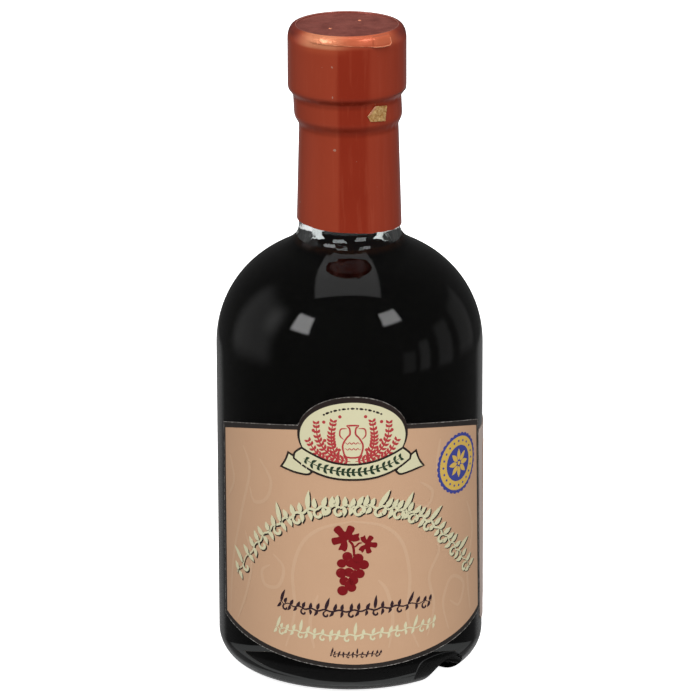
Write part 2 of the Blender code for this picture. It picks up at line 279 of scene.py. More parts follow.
class Value:
    """A shader socket that takes part in Python sums: each step adds its own Math node."""

    def __init__(self, finish, socket):
        self.finish = finish
        self.socket = socket

    def sum(self, operation, *terms):
        """The result of one Math node."""
        return self.finish.node("Math", {"operation": operation}, dict(enumerate(terms)))

    def __add__(self, other):
        return self.sum("ADD", self, other)

    def __sub__(self, other):
        return self.sum("SUBTRACT", self, other)

    def __rsub__(self, other):
        return self.sum("SUBTRACT", other, self)

    def __mul__(self, other):
        return self.sum("MULTIPLY", self, other)

    def __truediv__(self, other):
        return self.sum("DIVIDE", self, other)

    def size(self):
        """This value without its sign."""
        return self.sum("ABSOLUTE", self)

    def most(self, other):
        """The greater of two values."""
        return self.sum("MAXIMUM", self, other)

    def clamped(self):
        """This value held between 0 and 1."""
        return self.sum("MINIMUM", self.most(0.0), 1.0)

    def faded(self, start, end, low=0.0, high=1.0):
        """A smooth step of this value from low at start to high at end."""
        return self.finish.node("MapRange", {"interpolation_type": "SMOOTHSTEP"}, {
            "Value": self, "From Min": start, "From Max": end, "To Min": low, "To Max": high})


class Finish:
    """A procedural material, or the world, built one node at a time."""

    def __init__(self, name, owner=None):
        self.owner = owner or bpy.data.materials.new(name)
        self.owner.use_nodes = True
        self.tree = self.owner.node_tree
        self.tree.nodes.clear()

    def node(self, kind, settings=None, inputs=None, output=0):
        """Add a node: its settings first, then the values or links of its sockets."""
        node = self.tree.nodes.new("ShaderNode" + kind)
        for key, value in (settings or {}).items():
            setattr(node, key, value)
        for key, value in (inputs or {}).items():
            if isinstance(value, Value):
                self.tree.links.new(value.socket, node.inputs[key])
            else:
                node.inputs[key].default_value = value
        return Value(self, node.outputs[output]) if node.outputs else None

    def place(self):
        """The point on the object, in metres."""
        return self.node("TexCoord", output="Object")

    def axis(self, vector, name):
        """One part of a vector."""
        return self.node("SeparateXYZ", None, {"Vector": vector}, name)

    def stretched(self, scale):
        """The point on the object with each axis scaled."""
        return self.node("Mapping", None, {"Vector": self.place(), "Scale": scale})

    def cloud(self, scale, detail=2.0, roughness=0.5, where=None):
        """Soft noise of a given scale per metre."""
        return self.node("TexNoise", None, {
            "Vector": where or self.place(), "Scale": scale, "Detail": detail, "Roughness": roughness})

    def blend(self, factor, first, second):
        """A mix of two colours."""
        return self.node("Mix", {"data_type": "RGBA"}, {0: factor, 6: first, 7: second}, 2)

    def bump(self, height, distance, strength=1.0):
        """A normal from a height between 0 and 1, with the depth of the relief in metres."""
        return self.node("Bump", None, {"Height": height, "Distance": distance, "Strength": strength})

    def surface(self, **inputs):
        """End the material in one Principled shader, whose sockets are given with underscores."""
        named = {key.replace("_", " "): value for key, value in inputs.items()}
        shader = self.node("BsdfPrincipled", None, named)
        self.node("OutputMaterial", None, {"Surface": shader})
        return self.owner


def rgb(red, green, blue):
    """A colour for a socket, from sRGB numbers up to 255."""
    linear = []
    for part in (red, green, blue):
        part = part / 255.0
        linear.append(part / 12.92 if part <= 0.04045 else ((part + 0.055) / 1.055) ** 2.4)
    return (*linear, 1.0)


# outlines as (distance from the axis, height)

def arc(centre, radii, start, end, steps):
    """Points of an elliptic arc, with angles measured up from the outward direction."""
    points = []
    for step in range(steps + 1):
        angle = math.radians(start + (end - start) * step / steps)
        points.append((centre[0] + radii[0] * math.cos(angle), centre[1] + radii[1] * math.sin(angle)))
    return points


def mixed(points, weights):
    """The sum of points, each with its weight."""
    return tuple(sum(weight * point[axis] for weight, point in zip(weights, points)) for axis in (0, 1))


def bezier(p0, p1, p2, p3, steps):
    """Points of a cubic curve from p0 to p3."""
    points = []
    for step in range(steps + 1):
        t = step / steps
        weights = ((1 - t) ** 3, 3 * t * (1 - t) ** 2, 3 * t * t * (1 - t), t ** 3)
        points.append(mixed((p0, p1, p2, p3), weights))
    return points


def dome(radius, rise, end_z, steps):
    """The shoulder's outline from its top at end_z down to DOME_Z."""
    power_z, power_r = DOME_POWERS
    points = []
    for step in range(steps + 1):
        height = (end_z - DOME_Z) * math.cos(math.pi / 2 * step / steps)
        points.append((radius * (1.0 - (height / rise) ** power_z) ** (1.0 / power_r), DOME_Z + height))
    return points


def film_step(upper_r, upper_z, lower_r, lower_z):
    """The film's outline where it shrinks in from one drum to a narrower one below."""
    return bezier((upper_r, upper_z + 0.9), (upper_r, upper_z - 0.7), (lower_r, lower_z + 1.0),
                  (lower_r, lower_z - 0.3), 12)


def direction(points, index):
    """Direction of a line at one of its points."""
    before = Vector(points[max(index - 1, 0)])
    after = Vector(points[min(index + 1, len(points) - 1)])
    return (after - before).normalized()


def drawn_in(points, distance):
    """The same line moved towards the axis, square to itself; it runs down from top to bottom."""
    line = []
    for index, point in enumerate(points):
        along = direction(points, index)
        line.append((point[0] + along.y * distance, point[1] - along.x * distance))
    return line


def evened(points, gap):
    """The same line with extra points, so that none are further apart than the gap."""
    finer = [points[0]]
    for first, second in zip(points, points[1:]):
        parts = max(1, math.ceil(math.dist(first, second) / gap))
        for part in range(1, parts + 1):
            finer.append(tuple(a + (b - a) * part / parts for a, b in zip(first, second)))
    return finer


def glass_outside():
    """Outline of the glass from its lip down to the middle of its base."""
    finish_r = BAND_R - FILM - 0.25
    thread_r = finish_r - 0.7
    points = arc((thread_r - 0.8, FINISH_TOP_Z - 0.6), (0.8, 0.6), 90.0, 0.0, 4)
    points += [(thread_r, CAP_UNDERSIDE_Z + 0.3)]
    points += [(finish_r - 0.2, CAP_UNDERSIDE_Z - 0.3), (finish_r, CAP_UNDERSIDE_Z - 0.8)]
    points += drawn_in(film_step(BAND_R, BAND_LOWER_Z, SLEEVE_TOP_R, BAND_UNDERSIDE_Z), FILM + 0.25)
    shoulder = dome(BODY_R, DOME_RISE, DOME_END_Z, 44)
    top = shoulder[0]
    points += bezier((NECK_FOOT_R, NECK_FOOT_Z), (NECK_FOOT_R + 0.5, NECK_FOOT_Z - 3.2),
                     (top[0] - 2.36, top[1] + 1.28), top, 20)
    points += shoulder[1:]
    reach, rise = HEEL_ROUND
    points += arc((BODY_R - reach, rise), (reach, rise), 0.0, -90.0, 24)
    points += [(PUNT_R + 1.2, 0.0), (PUNT_R + 0.5, 0.2), (PUNT_R, 0.8), (PUNT_R * 0.6, PUNT_DEPTH * 0.8)]
    points += [(PUNT_R * 0.3, PUNT_DEPTH * 0.96), (0.0, PUNT_DEPTH)]
    return points


def cut_level(points, height):
    """The part of a line that runs down from a height, starting at that height."""
    for index, (first, second) in enumerate(zip(points, points[1:])):
        if second[1] <= height <= first[1]:
            share = (first[1] - height) / (first[1] - second[1])
            return [(first[0] + (second[0] - first[0]) * share, height)] + points[index + 1:]
    return points


def glass_inside(gap=0.0):
    """Outline of the bore from the middle of its floor up to the neck, drawn in by a gap."""
    wall_r = BODY_R - WALL - gap
    floor_z = PUNT_DEPTH + BASE_THICKNESS + gap
    bore_r = NECK_FOOT_R - NECK_WALL - gap
    points = [(0.0, floor_z)] + arc((wall_r - 8.0, floor_z + 8.0), (8.0, 8.0), -84.0, 0.0, 14)
    shoulder = dome(wall_r, DOME_RISE - WALL - gap, DOME_END_Z - WALL, 32)
    top = shoulder[0]
    points += shoulder[::-1][:-1]
    points += bezier(top, (top[0] - 2.4, top[1] + 1.4), (bore_r, NECK_FOOT_Z - 3.6),
                     (bore_r, NECK_FOOT_Z + 0.8), 14)
    return points


def film_outside():
    """Outline of the film from the edge of the disc down to its lower edge."""
    reach, rise = CAP_ROUND
    points = [(DISC_R, HEIGHT - 0.4), (DISC_R + 0.08, HEIGHT - 0.12), (DISC_R + 0.25, HEIGHT)]
    points += arc((CAP_R - reach, HEIGHT - rise), (reach, rise), 90.0, 0.0, 16)
    points += film_step(CAP_R, CAP_LOWER_Z, BAND_R, CAP_UNDERSIDE_Z)
    points += film_step(BAND_R, BAND_LOWER_Z, SLEEVE_TOP_R, BAND_UNDERSIDE_Z)
    points += [(SLEEVE_BOTTOM_R, SLEEVE_EDGE_Z)]
    return evened(points, 0.9)


# making pieces

def along_line(points, place):
    """Height at a place along a line of (place, height) points that runs to the right."""
    for first, second in zip(points, points[1:]):
        if place <= second[0]:
            share = max(0.0, (place - first[0]) / (second[0] - first[0]))
            return first[1] + (second[1] - first[1]) * share
    return points[-1][1]


def smoothed(value, start, end):
    """A smooth step from 0 at start to 1 at end."""
    share = min(1.0, max(0.0, (value - start) / (end - start)))
    return share * share * (3.0 - 2.0 * share)


def turned(profile):
    """Spin an outline round the upright axis into a closed shell."""
    shape = bmesh.new()
    corners = [shape.verts.new((radius, 0.0, height)) for radius, height in profile]
    for first, second in zip(corners, corners[1:]):
        shape.edges.new((first, second))
    if profile[0][0] > 0.0:
        shape.edges.new((corners[-1], corners[0]))
    bmesh.ops.spin(shape, geom=shape.verts[:] + shape.edges[:], cent=(0.0, 0.0, 0.0), axis=(0.0, 0.0, 1.0),
                   dvec=(0.0, 0.0, 0.0), angle=math.tau, steps=TURN_STEPS, use_merge=True,
                   use_duplicate=False)
    bmesh.ops.remove_doubles(shape, verts=shape.verts, dist=0.0005)
    bmesh.ops.recalc_face_normals(shape, faces=shape.faces)
    return shape


def as_mesh(name, shape):
    """The shape as a mesh; the shape itself is used up."""
    mesh = bpy.data.meshes.new(name)
    shape.to_mesh(mesh)
    shape.free()
    return mesh


def shown(name, data):
    """A new object in the scene."""
    item = bpy.data.objects.new(name, data)
    bpy.context.scene.collection.objects.link(item)
    return item


def settled(name, shape, material, node=None, sharp=40.0):
    """Turn a shape into a finished piece that rides on the bottle."""
    bmesh.ops.scale(shape, vec=(MM, MM, MM), verts=shape.verts)
    mesh = as_mesh(name, shape)
    mesh.shade_smooth()
    mesh.set_sharp_from_angle(angle=math.radians(sharp))
    mesh.materials.append(material)
    piece = shown(name, mesh)
    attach(piece, "root")
    if node:
        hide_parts(node)


def flat_face(shape, *outlines):
    """Fill closed outlines of (distance, height) points; one inside another is a hole."""
    edges = []
    for outline in outlines:
        corners = [shape.verts.new((along, height, 0.0)) for along, height in outline]
        for first, second in zip(corners, corners[1:] + corners[:1]):
            edges.append(shape.edges.new((first, second)))
    bmesh.ops.triangle_fill(shape, use_beauty=True, use_dissolve=False, edges=edges)


def wrapped(shape, radius, thickness, column=COLUMN, row=None):
    """Cut a flat shape in columns, and in rows if asked, give it thickness and bend it round the bottle."""
    for axis, gap in ((0, column), (1, row)):
        if gap:
            across = Vector((1.0 - axis, axis, 0.0))
            places = [corner.co[axis] / gap for corner in shape.verts]
            for step in range(math.ceil(min(places)), math.floor(max(places)) + 1):
                bmesh.ops.bisect_plane(shape, geom=shape.verts[:] + shape.edges[:] + shape.faces[:],
                                       dist=0.00001, plane_co=across * step * gap, plane_no=across)
    bmesh.ops.solidify(shape, geom=shape.faces[:], thickness=thickness)
    floor = min(corner.co.z for corner in shape.verts)
    for corner in shape.verts:
        angle = corner.co.x / PRINT_R
        reach = radius + corner.co.z - floor
        corner.co = Vector((math.sin(angle) * reach, -math.cos(angle) * reach, corner.co.y))
    bmesh.ops.recalc_face_normals(shape, faces=shape.faces)
    return shape


# outlines on the labels as (distance round the bottle, height)

def oval(centre, half_size, steps):
    """Points of an ellipse."""
    return arc(centre, half_size, 0.0, 360.0, steps)[:-1]


def front_edge(share, top, border=0.0):
    """A point on the label's upper or lower edge; share runs from -1 at the left to 1 at the right."""
    side, middle = (FRONT_SIDE_Z[top], FRONT_MIDDLE_Z[top])
    power = 2.0 if top else FRONT_BOTTOM_POWER
    height = middle + (side - middle) * abs(share) ** power + (-border if top else border)
    left = FRONT_SPAN[0] + border
    right = FRONT_SPAN[1] - border - (height - 40.0) * FRONT_SLANT
    return left + (right - left) * (share + 1.0) / 2.0, height


def front_outline(border=0.0):
    """Outline of the label without its oval, drawn in by a border."""
    shares = [2.0 * step / 72 - 1.0 for step in range(73)]
    low = [front_edge(share, 0, border) for share in shares]
    high = [front_edge(share, 1, border) for share in shares]
    return low + high[::-1]


def crowned_outline():
    """Outline of the whole label, with the oval that stands up in its middle."""
    outline = front_outline()
    arch = outline[len(outline) // 2:]
    crown = [p for p in oval(OVAL_CENTRE, OVAL_HALF_SIZE, 96) if p[1] > along_line(arch[::-1], p[0])]
    right = [point for point in arch if point[0] > crown[0][0]]
    left = [point for point in arch if point[0] < crown[-1][0]]
    return outline[:len(outline) // 2] + right + crown + left


def inset(outline, distance):
    """A closed outline that runs anticlockwise, moved inwards."""
    line = []
    for index, point in enumerate(outline):
        before, after = outline[index - 1], outline[(index + 1) % len(outline)]
        entry = Vector((point[0] - before[0], point[1] - before[1])).normalized()
        exit_ = Vector((after[0] - point[0], after[1] - point[1])).normalized()
        inwards = Vector((-entry.y - exit_.y, entry.x + exit_.x))
        reach = distance / max(0.35, inwards.length / 2.0)
        inwards = inwards.normalized() * reach
        line.append((point[0] + inwards.x, point[1] + inwards.y))
    return line


def rounded(points, steps=5, closed=False):
    """Points of a smooth line through the given ones."""
    row = [points[-1], *points, *points[:2]] if closed else [points[0], *points, points[-1]]
    curve = []
    for four in zip(row, row[1:], row[2:], row[3:]):
        for step in range(steps):
            t = step / steps
            weights = (-t + 2 * t * t - t ** 3, 2 - 5 * t * t + 3 * t ** 3,
                       t + 4 * t * t - 3 * t ** 3, t ** 3 - t * t)
            curve.append(mixed(four, [weight / 2 for weight in weights]))
    return curve if closed else curve + [points[-1]]


def brushed(points, width, tips=(0.35, 0.25)):
    """Outline of a brush stroke along a line, full in its middle and thinner at its tips."""
    left, right = [], []
    for index, point in enumerate(points):
        along = direction(points, index)
        share = index / (len(points) - 1)
        full = min(1.0, tips[0] + (1.0 - tips[0]) * share * 4.0,
                   tips[1] + (1.0 - tips[1]) * (1.0 - share) * 4.0)
        half = width * full / 2.0
        left.append((point[0] - along.y * half, point[1] + along.x * half))
        right.append((point[0] + along.y * half, point[1] - along.x * half))
    return right + left[::-1]


def leaf(base, tip, width, bend=0.0):
    """Outline of a pointed leaf from its base to its tip."""
    base, tip = Vector(base), Vector(tip)
    along = tip - base
    across = Vector((-along.y, along.x)).normalized()
    left, right = [], []
    for step in range(LEAF_STEPS + 1):
        share = step / LEAF_STEPS
        middle = base + along * share + across * bend * math.sin(math.pi * share)
        half = width / 2.0 * math.sin(math.pi * share ** 0.8) ** 0.85
        left.append(tuple(middle + across * half))
        right.append(tuple(middle - across * half))
    return right[:-1] + left[:0:-1]


def curl(centre, radius, start):
    """Points of a spiral that winds in to its centre; start is in degrees."""
    points = []
    for step in range(CURL_STEPS + 1):
        share = step / CURL_STEPS
        angle = math.radians(start + 360.0 * CURL_TURNS * share)
        reach = radius * (1.0 - 0.8 * share)
        points.append((centre[0] + reach * math.cos(angle), centre[1] + reach * math.sin(angle)))
    return points


def back_outline(border=0.0):
    """Outline of the back label: clipped corners, and a left edge that slants like the front label's."""
    end = BACK_START + BACK_WIDTH - border
    low, high = BACK_Z[0] + border, BACK_Z[1] - border
    clip = BACK_CHAMFER

    def start(height):
        return BACK_START + border + (40.0 - height) * BACK_SLANT

    return [(start(low) + clip, low), (end - clip, low), (end, low + clip), (end, high - clip),
            (end - clip, high), (start(high) + clip, high), (start(high - clip), high - clip),
            (start(low + clip), low + clip)]


# finishes

def make_glass():
    """Clear glass with a faint waviness."""
    finish = Finish("clear glass")
    wave = finish.bump(finish.cloud(55.0, 1.0), 0.0006, 0.25)
    return finish.surface(Base_Color=rgb(242, 246, 245), Roughness=0.01, IOR=1.5, Transmission_Weight=1.0,
                          Normal=wave)


def make_vinegar():
    """Dark vinegar that turns brown where it is thin."""
    finish = Finish("dark vinegar")
    height = finish.axis(finish.place(), "Z")
    thin = height.faded((LEVEL_Z - 1.5) * MM, (LEVEL_Z + 0.3) * MM)
    colour = finish.blend(thin, rgb(9, 9, 8), rgb(44, 25, 15))
    return finish.surface(Base_Color=colour, Roughness=0.2, Specular_IOR_Level=0.0)


def make_film():
    """Copper-coloured satin film with a fine grain, faint streaks down the neck, pale specks of scuffs with
    painted glints, painted reflections down its sides, painted highlights on its rim and painted shade on the
    rim's sides and in its creases.
    """
    finish = Finish("copper film")
    streaks = finish.cloud(1.0, 3.0, 0.6, finish.stretched((900.0, 900.0, 70.0)))
    grain = finish.cloud(9000.0, 2.0)
    place = finish.place()
    east = finish.axis(place, "X")
    angle = east.sum("ARCTAN2", east, 0.0 - finish.axis(place, "Y"))
    height = finish.axis(place, "Z") / MM
    # painted reflection: lighter bands down the left and the right of the film
    pale = angle.faded(-0.15, -0.24) + angle.faded(0.3, 0.42) * 0.6
    in_front = angle.size().faded(1.25, 0.7)
    # where the painted highlights on the rim's left fall
    left_highlight = angle.faded(0.1, -0.4) * angle.faded(-1.05, -0.65)
    # the creases where the film steps in, for the painted shade there
    upper, lower = ((height - place_z).size().faded(1.9, 0.8) for place_z in FILM_SHADE_Z)
    steps = upper.most(lower)
    tone = finish.blend(finish.cloud(110.0, 3.0), rgb(176, 55, 31), rgb(188, 64, 37))
    tints_and_painted_light = (
        # painted reflection down the sides
        (pale.clamped() * 0.75, (208, 88, 58)),
        # painted highlights on the rim: along its front and on its left
        (height.faded(159.9, 161.9) * in_front * 0.75, (244, 132, 92)),
        (height.faded(158.4, 160.4) * left_highlight * 0.5, (232, 112, 72)),
        (height.faded(160.0, 160.8) * left_highlight * 0.7, (255, 172, 128)),
        # painted shade on the rim away from the front
        (height.faded(160.6, 162.6) * (1.0 - in_front) * 0.8, (126, 52, 44)),
        # painted shade in the creases of the steps
        (steps * 0.35, (120, 36, 22)),
        (streaks.faded(0.52, 0.72) * 0.25, (212, 96, 66)),
        # pale specks: scuffs with painted glints
        (finish.cloud(620.0, 1.0).faded(0.78, 0.8) * 0.7, (226, 180, 160)),
    )
    for share, colour in tints_and_painted_light:
        tone = finish.blend(share, tone, rgb(*colour))
    relief = finish.bump(streaks * 0.7 + grain * 0.3, 0.00002, 0.5)
    return finish.surface(Base_Color=tone, Metallic=0.5, Roughness=streaks * 0.08 + 0.26,
                          Coat_Weight=0.4 - steps * 0.34, Coat_Roughness=0.15, Normal=relief)


def crinkled(name):
    """One of the crinkled foils: its colour and its relief come from one cloud."""
    scale, fade, dark, pale, relief, metal, roughness, coat = CRINKLED[name]
    finish = Finish(name)
    crinkle = finish.cloud(scale, 3.0, 0.6)
    share = crinkle.faded(*fade) if fade else crinkle
    return finish.surface(Base_Color=finish.blend(share, rgb(*dark), rgb(*pale)), Metallic=metal,
                          Normal=finish.bump(crinkle, *relief), Roughness=roughness, Coat_Weight=coat)


def make_disc():
    """Dull printed film on top of the cap, smoother than paper and slightly dented."""
    finish = Finish("dull film")
    tone = finish.blend(finish.cloud(260.0, 4.0, 0.7).faded(0.3, 0.7), rgb(120, 62, 54), rgb(150, 84, 74))
    relief = finish.bump(finish.cloud(170.0, 2.0) * 0.8 + finish.cloud(2500.0, 3.0) * 0.2, 0.0005, 0.5)
    return finish.surface(Base_Color=tone, Metallic=0.3, Roughness=0.36, Normal=relief)


def paper(name):
    """Smooth paper in one of the label's inks, with a faint fibre in its colour and surface."""
    if name in bpy.data.materials:
        return bpy.data.materials[name]
    finish = Finish(name)
    threads = finish.cloud(1.0, 4.0, 0.65, finish.stretched((2600.0, 2600.0, 900.0)))
    mottle = threads * 0.5 + finish.cloud(160.0, 3.0) * 0.5
    colour, shade = INKS[name]
    return finish.surface(Base_Color=finish.blend(mottle, rgb(*colour), rgb(*shade)), Roughness=0.46,
                          Specular_IOR_Level=0.4, Normal=finish.bump(threads, 0.00002, 0.5))


def make_cut_edge():
    """The cut edge of the paper: a dark line with pale specks that are painted glints."""
    finish = Finish("paper cut edge")
    # pale specks along the edge: painted glints
    edge_glints = finish.cloud(1500.0, 3.0, 0.7).faded(0.42, 0.62)
    tone = finish.blend(edge_glints, rgb(84, 80, 77), rgb(176, 172, 166))
    return finish.surface(Base_Color=tone, Roughness=0.6, Normal=finish.bump(edge_glints, 0.00002, 0.5))


def make_plastic():
    """Dark plastic of the cap under the film."""
    finish = Finish("cap plastic")
    tone = finish.blend(finish.cloud(400.0, 3.0), rgb(70, 56, 48), rgb(84, 68, 60))
    relief = finish.bump(finish.cloud(5000.0, 2.0), 0.00002, 0.4)
    return finish.surface(Base_Color=tone, Roughness=0.45, Normal=relief)


# the bottle and what is on it

def notch_cutter():
    """An egg shape that lies along its radius and tips up outwards."""
    shape = bmesh.new()
    bmesh.ops.create_uvsphere(shape, u_segments=64, v_segments=40, radius=1.0)
    size = Matrix.Diagonal((*NOTCH_HALF_SIZE, 1.0))
    tip = Euler((0.0, -math.radians(NOTCH_TILT), 0.0)).to_matrix().to_4x4()
    place = Matrix.Translation((NOTCH_CENTRE[0], 0.0, NOTCH_CENTRE[1]))
    turn = Matrix.Rotation(math.radians(NOTCH_ANGLE - 90.0), 4, "Z")
    bmesh.ops.transform(shape, matrix=turn @ place @ tip @ size, verts=shape.verts)
    return as_mesh("notch cutter", shape)


def carved(shape, cutter_mesh):
    """The shape with the cutter taken out of it."""
    mesh = as_mesh("carving", shape)
    body = shown("carving", mesh)
    cutter = shown("cutter", cutter_mesh)
    boolean = body.modifiers.new("carve", "BOOLEAN")
    boolean.operation = "DIFFERENCE"
    boolean.solver = "EXACT"
    boolean.object = cutter
    evaluated = body.evaluated_get(bpy.context.evaluated_depsgraph_get())
    result = bmesh.new()
    result.from_mesh(evaluated.to_mesh())
    evaluated.to_mesh_clear()
    for item in (body, cutter):
        bpy.data.objects.remove(item, do_unlink=True)
    for leftover in (mesh, cutter_mesh):
        bpy.data.meshes.remove(leftover)
    return result


def build_glass():
    """The bottle itself."""
    mouth = [(MOUTH_R, FINISH_TOP_Z - 10.0), (MOUTH_R, FINISH_TOP_Z)]
    shape = turned(evened(glass_inside() + mouth + glass_outside(), 3.0))
    for corner in shape.verts:
        x, y, z = corner.co
        radius = math.hypot(x, y)
        if 9.9 < radius < 16.0 and 100.0 < z < 120.0:
            near = smoothed(z, 101.0, 105.0) * (1.0 - smoothed(z, 116.0, 119.0))
            streak = noise.noise(Vector((x / radius * 13.0, y / radius * 13.0, z * 0.06)))
            broad = noise.noise(Vector((x / radius * 3.0, y / radius * 3.0, z * 0.1 + 5.0)))
            push = 1.0 + near * (0.05 * streak + 0.1 * broad) / radius
            corner.co = Vector((x * push, y * push, z))
    shape = carved(shape, notch_cutter())
    settled("bottle_glass", shape, make_glass(), "glass_bottle")


def build_vinegar():
    """The vinegar, reaching just into the wall of the glass."""
    inside = cut_level(glass_inside(-LIQUID_REACH)[::-1], LEVEL_Z + MENISCUS)
    rim_r = inside[0][0]
    surface = [(0.0, LEVEL_Z), (rim_r - 1.6, LEVEL_Z), (rim_r - 0.7, LEVEL_Z + 0.12)]
    settled("vinegar_fill", turned(surface + inside), make_vinegar(), "vinegar")


def film_shape(corner):
    """Move a point of the film: tilted and uneven lower edge, leaning head, soft dents."""
    x, y, z = corner
    angle = math.atan2(x, -y)
    low = 1.0 - smoothed(z, SLEEVE_EDGE_Z, SLEEVE_EDGE_Z + 14.0)
    round_about = Vector((math.sin(angle), -math.cos(angle), 0.0))
    uneven = noise.noise(round_about * 4.5) * 0.22 + noise.noise(round_about * 14.0) * 0.06
    z += low * (-x * math.tan(math.radians(SLEEVE_EDGE_TILT)) + uneven)
    at_step = sum(math.exp(-((z - step_z) / 1.1) ** 2) for step_z in FILM_DENT_Z)
    ripple = noise.noise(round_about * 9.0 + Vector((0.0, 0.0, z * 0.05)))
    dent = noise.noise(Vector((x, y, z * 0.4)) * 0.11)
    push = ripple * 0.10 * at_step + dent * 0.05
    lean = HEAD_LEAN * smoothed(z, 136.0, 148.0)
    return Vector((x + round_about.x * push - lean, y + round_about.y * push, z))


def build_capsule():
    """The film over the cap, the band and the neck."""
    outer = film_outside()
    shape = turned(outer + drawn_in(outer, FILM)[::-1])
    for corner in shape.verts:
        corner.co = film_shape(corner.co)
    settled("copper_capsule", shape, make_film(), "capsule", sharp=60.0)


def lap_lift(angle, slope):
    """How far the lap of film stands off the rim, by its angle round the cap and its slope, in degrees."""
    start = LAP_EDGE[0][0]
    fold = smoothed(angle, *LAP_FOLD) * (1.0 - smoothed(slope, 44.0, 62.0))
    lift = LAP_RISE[0] + LAP_RISE[1] * smoothed(angle, start, start + 22.0) + LAP_RISE[2] * fold
    lift *= 1.0 - smoothed(slope, 78.0, 90.0) * 0.8
    lift += 0.05 * noise.noise(Vector((angle * 0.25, slope * 0.05, 3.0)))
    return min(lift, CAP_ROUND[1] * (1.0 / math.sin(math.radians(slope)) - 1.0) - LAP_THICKNESS - 0.02)


def rim_slope(height):
    """Slope of the cap's rim, in degrees, where it reaches a height."""
    rise = CAP_ROUND[1]
    return math.degrees(math.asin((height - HEIGHT + rise) / rise))


def on_lap(angle, slope):
    """A point of the lap of film, by its angle round the cap and its slope."""
    reach, rise = CAP_ROUND
    lift = lap_lift(angle, slope)
    turn, slope = math.radians(angle), math.radians(slope)
    radius = CAP_R - reach + (reach + lift) * math.cos(slope)
    height = HEIGHT - rise + (rise + lift) * math.sin(slope)
    return Vector((math.sin(turn) * radius - HEAD_LEAN, -math.cos(turn) * radius, height))


def build_film_lap():
    """The lap of film over the front of the rim, with the raised fold at its right end, and a ridge along its
    lower edge in pale copper as a painted highlight.
    """
    shape = bmesh.new()
    bmesh.ops.create_grid(shape, x_segments=150, y_segments=16, size=0.5)
    start, end = LAP_EDGE[0][0], LAP_EDGE[-1][0]
    for corner in shape.verts:
        angle = start + (end - start) * (corner.co.x + 0.5)
        edge = rim_slope(along_line(LAP_EDGE, angle))
        corner.co = on_lap(angle, edge + (90.0 - edge) * (corner.co.y + 0.5))
    bmesh.ops.recalc_face_normals(shape, faces=shape.faces)
    if sum(face.normal.dot(Vector((0.0, -1.0, 0.3))) for face in shape.faces) < 0.0:
        bmesh.ops.reverse_faces(shape, faces=shape.faces)
    bmesh.ops.solidify(shape, geom=shape.faces[:], thickness=LAP_THICKNESS)
    settled("capsule_film_lap", shape, bpy.data.materials["copper film"], sharp=50.0)
    edge = bmesh.new()
    ends = [(on_lap(angle, rim_slope(height)), size) for angle, height, size in LAP_RIDGE]
    for (first, first_size), (second, second_size) in zip(ends, ends[1:]):
        aim = (second - first).to_track_quat("Z", "Y").to_matrix().to_4x4()
        place = Matrix.Translation((first + second) / 2.0) @ aim
        bmesh.ops.create_cone(edge, cap_ends=True, segments=10, radius1=first_size, radius2=second_size,
                              depth=(second - first).length, matrix=place)
    # the ridge is pale copper, a painted highlight along the lap's edge
    settled("capsule_lap_ridge", edge, crinkled("copper film painted highlight"), sharp=60.0)


def build_disc():
    """The dull disc on top, two small raised dots on it in pale copper as painted glints, and a pale ring
    round it as a painted highlight on the film's rim.
    """
    top_z = HEIGHT - DISC_SINK
    reach = DISC_R + 0.1
    profile = [(0.0, top_z), (reach - 0.1, top_z), (reach, top_z - 0.1), (reach, top_z - DISC_THICKNESS)]
    shape = turned(profile + [(0.0, top_z - DISC_THICKNESS)])
    bmesh.ops.translate(shape, vec=(-HEAD_LEAN, 0.0, 0.0), verts=shape.verts)
    settled("capsule_top_disc", shape, make_disc(), "capsule_disc")
    dots = bmesh.new()
    for along, across in DOT_PLACES:
        size = Matrix.Diagonal((*DOT_SIZE, 1.0))
        place = Matrix.Translation((along - HEAD_LEAN, across, top_z - 0.02))
        bmesh.ops.create_uvsphere(dots, u_segments=20, v_segments=10, radius=1.0, matrix=place @ size)
    # the dots are pale copper, painted glints
    settled("capsule_top_dots", dots, bpy.data.materials["copper film painted highlight"])
    # a pale ring, a painted highlight on the edge of the film's rim
    radius, height, size = RIM_HIGHLIGHT_RING
    ring = turned(oval((radius, height), (size, size), 10))
    bmesh.ops.translate(ring, vec=(-HEAD_LEAN, 0.0, 0.0), verts=ring.verts)
    settled("capsule_rim_ring", ring, crinkled("film rim painted highlight"))


def pasted(name, outline, material, node):
    """A sheet of paper on the glass."""
    shape = bmesh.new()
    flat_face(shape, outline)
    settled(name, wrapped(shape, PAPER_INNER_R, PAPER), paper(material), node)


def printed(name, outlines, level, ink):
    """One ink of the print: flat shapes wrapped round the bottle, a number of ink layers above the paper."""
    shape = bmesh.new()
    for outline in outlines:
        flat_face(shape, *(outline if isinstance(outline[0][0], tuple) else [outline]))
    settled(name, wrapped(shape, PAPER_INNER_R + PAPER + level * INK, INK), paper(ink))


def moved(outlines, step):
    """The same outlines shifted by a step."""
    return [[(x + step[0], y + step[1]) for x, y in outline] for outline in outlines]


def laid(line, share, rise=0.0):
    """A point at a share of a line's length, and a rise square to it; also the line's direction there."""
    place = share * (len(line) - 1)
    index = min(int(place), len(line) - 2)
    first, second = Vector(line[index]), Vector(line[index + 1])
    along = (second - first).normalized()
    point = first.lerp(second, place - index) + Vector((-along.y, along.x)) * rise
    return point, along


